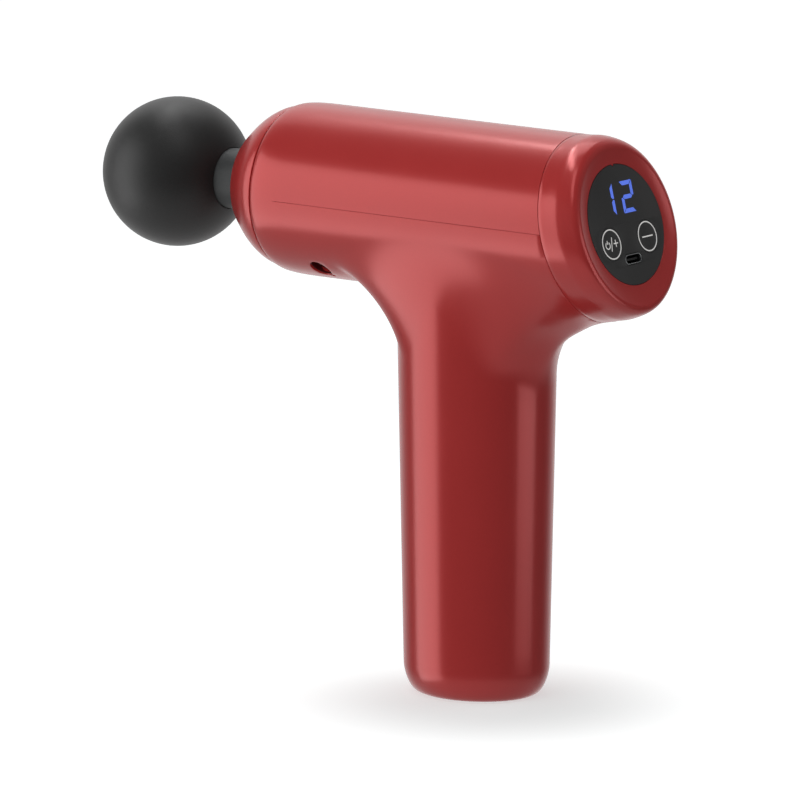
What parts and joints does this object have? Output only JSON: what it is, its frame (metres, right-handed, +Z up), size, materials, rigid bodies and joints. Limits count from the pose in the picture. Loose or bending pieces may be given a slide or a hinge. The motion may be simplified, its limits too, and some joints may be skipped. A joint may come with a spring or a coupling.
{
  "type": "percussion massage gun",
  "caption": "handheld T-shaped massager with a ball head driven in and out by a motor, oval handle and a round control panel on the rear",
  "frame": {"origin": "centre of the handle's flat base, on the floor", "axes": "+Z up along the handle, +X along the barrel from the ball to the control panel, +Y across"},
  "size_m": [0.2199, 0.058, 0.192],
  "materials": {
    "shell_red": "satin",
    "collar_red": "matte",
    "ball_rubber": "matte",
    "black_rubber": "matte",
    "panel_black": "satin",
    "grey_plastic": "matte",
    "nylon": "matte",
    "acetal": "satin",
    "steel": "satin",
    "alloy": "satin",
    "core_steel": "satin",
    "copper": "satin",
    "board_green": "satin",
    "cell_wrap": "satin",
    "lead_red": "satin",
    "lead_black": "satin"
  },
  "bodies": {
    "housing": {"body_shell": "shell_red", "top_cover": "shell_red", "nose_cap": "shell_red", "nose_collar": "collar_red", "rear_cap": "shell_red", "control_panel": "panel_black", "usb_shell": "steel", "usb_tongue": "grey_plastic", "display_module": "grey_plastic", "control_pcb": "board_green", "power_plus_switch": "grey_plastic", "minus_switch": "grey_plastic", "driver_board": "board_green", "driver_capacitor": "nylon", "battery_connector": "acetal", "motor_connector": "acetal", "guide_bush": "acetal", "front_damper": "black_rubber", "drive_frame": "nylon", "frame_screw_near": "steel", "frame_screw_far": "steel", "motor_base": "alloy", "motor_bearing_lower": "steel", "motor_bearing_upper": "steel", "motor_screw_1": "steel", "motor_screw_2": "steel", "motor_screw_3": "steel", "stator_core": "core_steel", "stator_coil_1": "copper", "stator_coil_2": "copper", "stator_coil_3": "copper", "stator_coil_4": "copper", "stator_coil_5": "copper", "stator_coil_6": "copper", "stator_coil_7": "copper", "stator_coil_8": "copper", "stator_coil_9": "copper", "cell_1": "cell_wrap", "cell_2": "cell_wrap", "cell_3": "cell_wrap", "cell_holder_bottom": "nylon", "cell_holder_top": "nylon", "battery_lead_red": "lead_red", "battery_lead_black": "lead_black"},
    "rotor": {"rotor_bell": "steel", "magnet_ring": "core_steel", "motor_shaft": "steel", "crank_disc": "steel", "crank_pin": "steel", "crank_roller": "steel"},
    "piston_body": {"piston": "alloy"},
    "massage_head": {"head_stem": "grey_plastic", "ball_head": "ball_rubber", "stem_oring_front": "black_rubber", "stem_oring_rear": "black_rubber"},
    "power_key": {"power_plus_key": "panel_black"},
    "minus_key_body": {"minus_key": "panel_black"}
  },
  "joints": [
    {"name": "motor_spin", "type": "hinge", "parent": "housing", "child": "rotor", "pos_m": [0.004, 0, 0.163], "axis": [0, 0, 1], "range_deg": [-90, 90]},
    {"name": "piston_stroke", "type": "slide", "parent": "housing", "child": "piston_body", "axis": [-1, 0, 0], "range_m": [-0.005, 0.005]},
    {"name": "head_pull", "type": "slide", "parent": "piston_body", "child": "massage_head", "axis": [-1, 0, 0], "range_m": [0, 0.03]},
    {"name": "power_key_press", "type": "slide", "parent": "housing", "child": "power_key", "axis": [-0.9603, 0, -0.279], "range_m": [0, 0.0004], "stiffness_N_per_m": 3000},
    {"name": "minus_key_press", "type": "slide", "parent": "housing", "child": "minus_key_body", "axis": [-0.9603, 0, -0.279], "range_m": [0, 0.0004], "stiffness_N_per_m": 3000}
  ],
  "couplings": [
    {"joint": "motor_spin", "follows": "piston_stroke", "rad_per_m": 314.16}
  ]
}
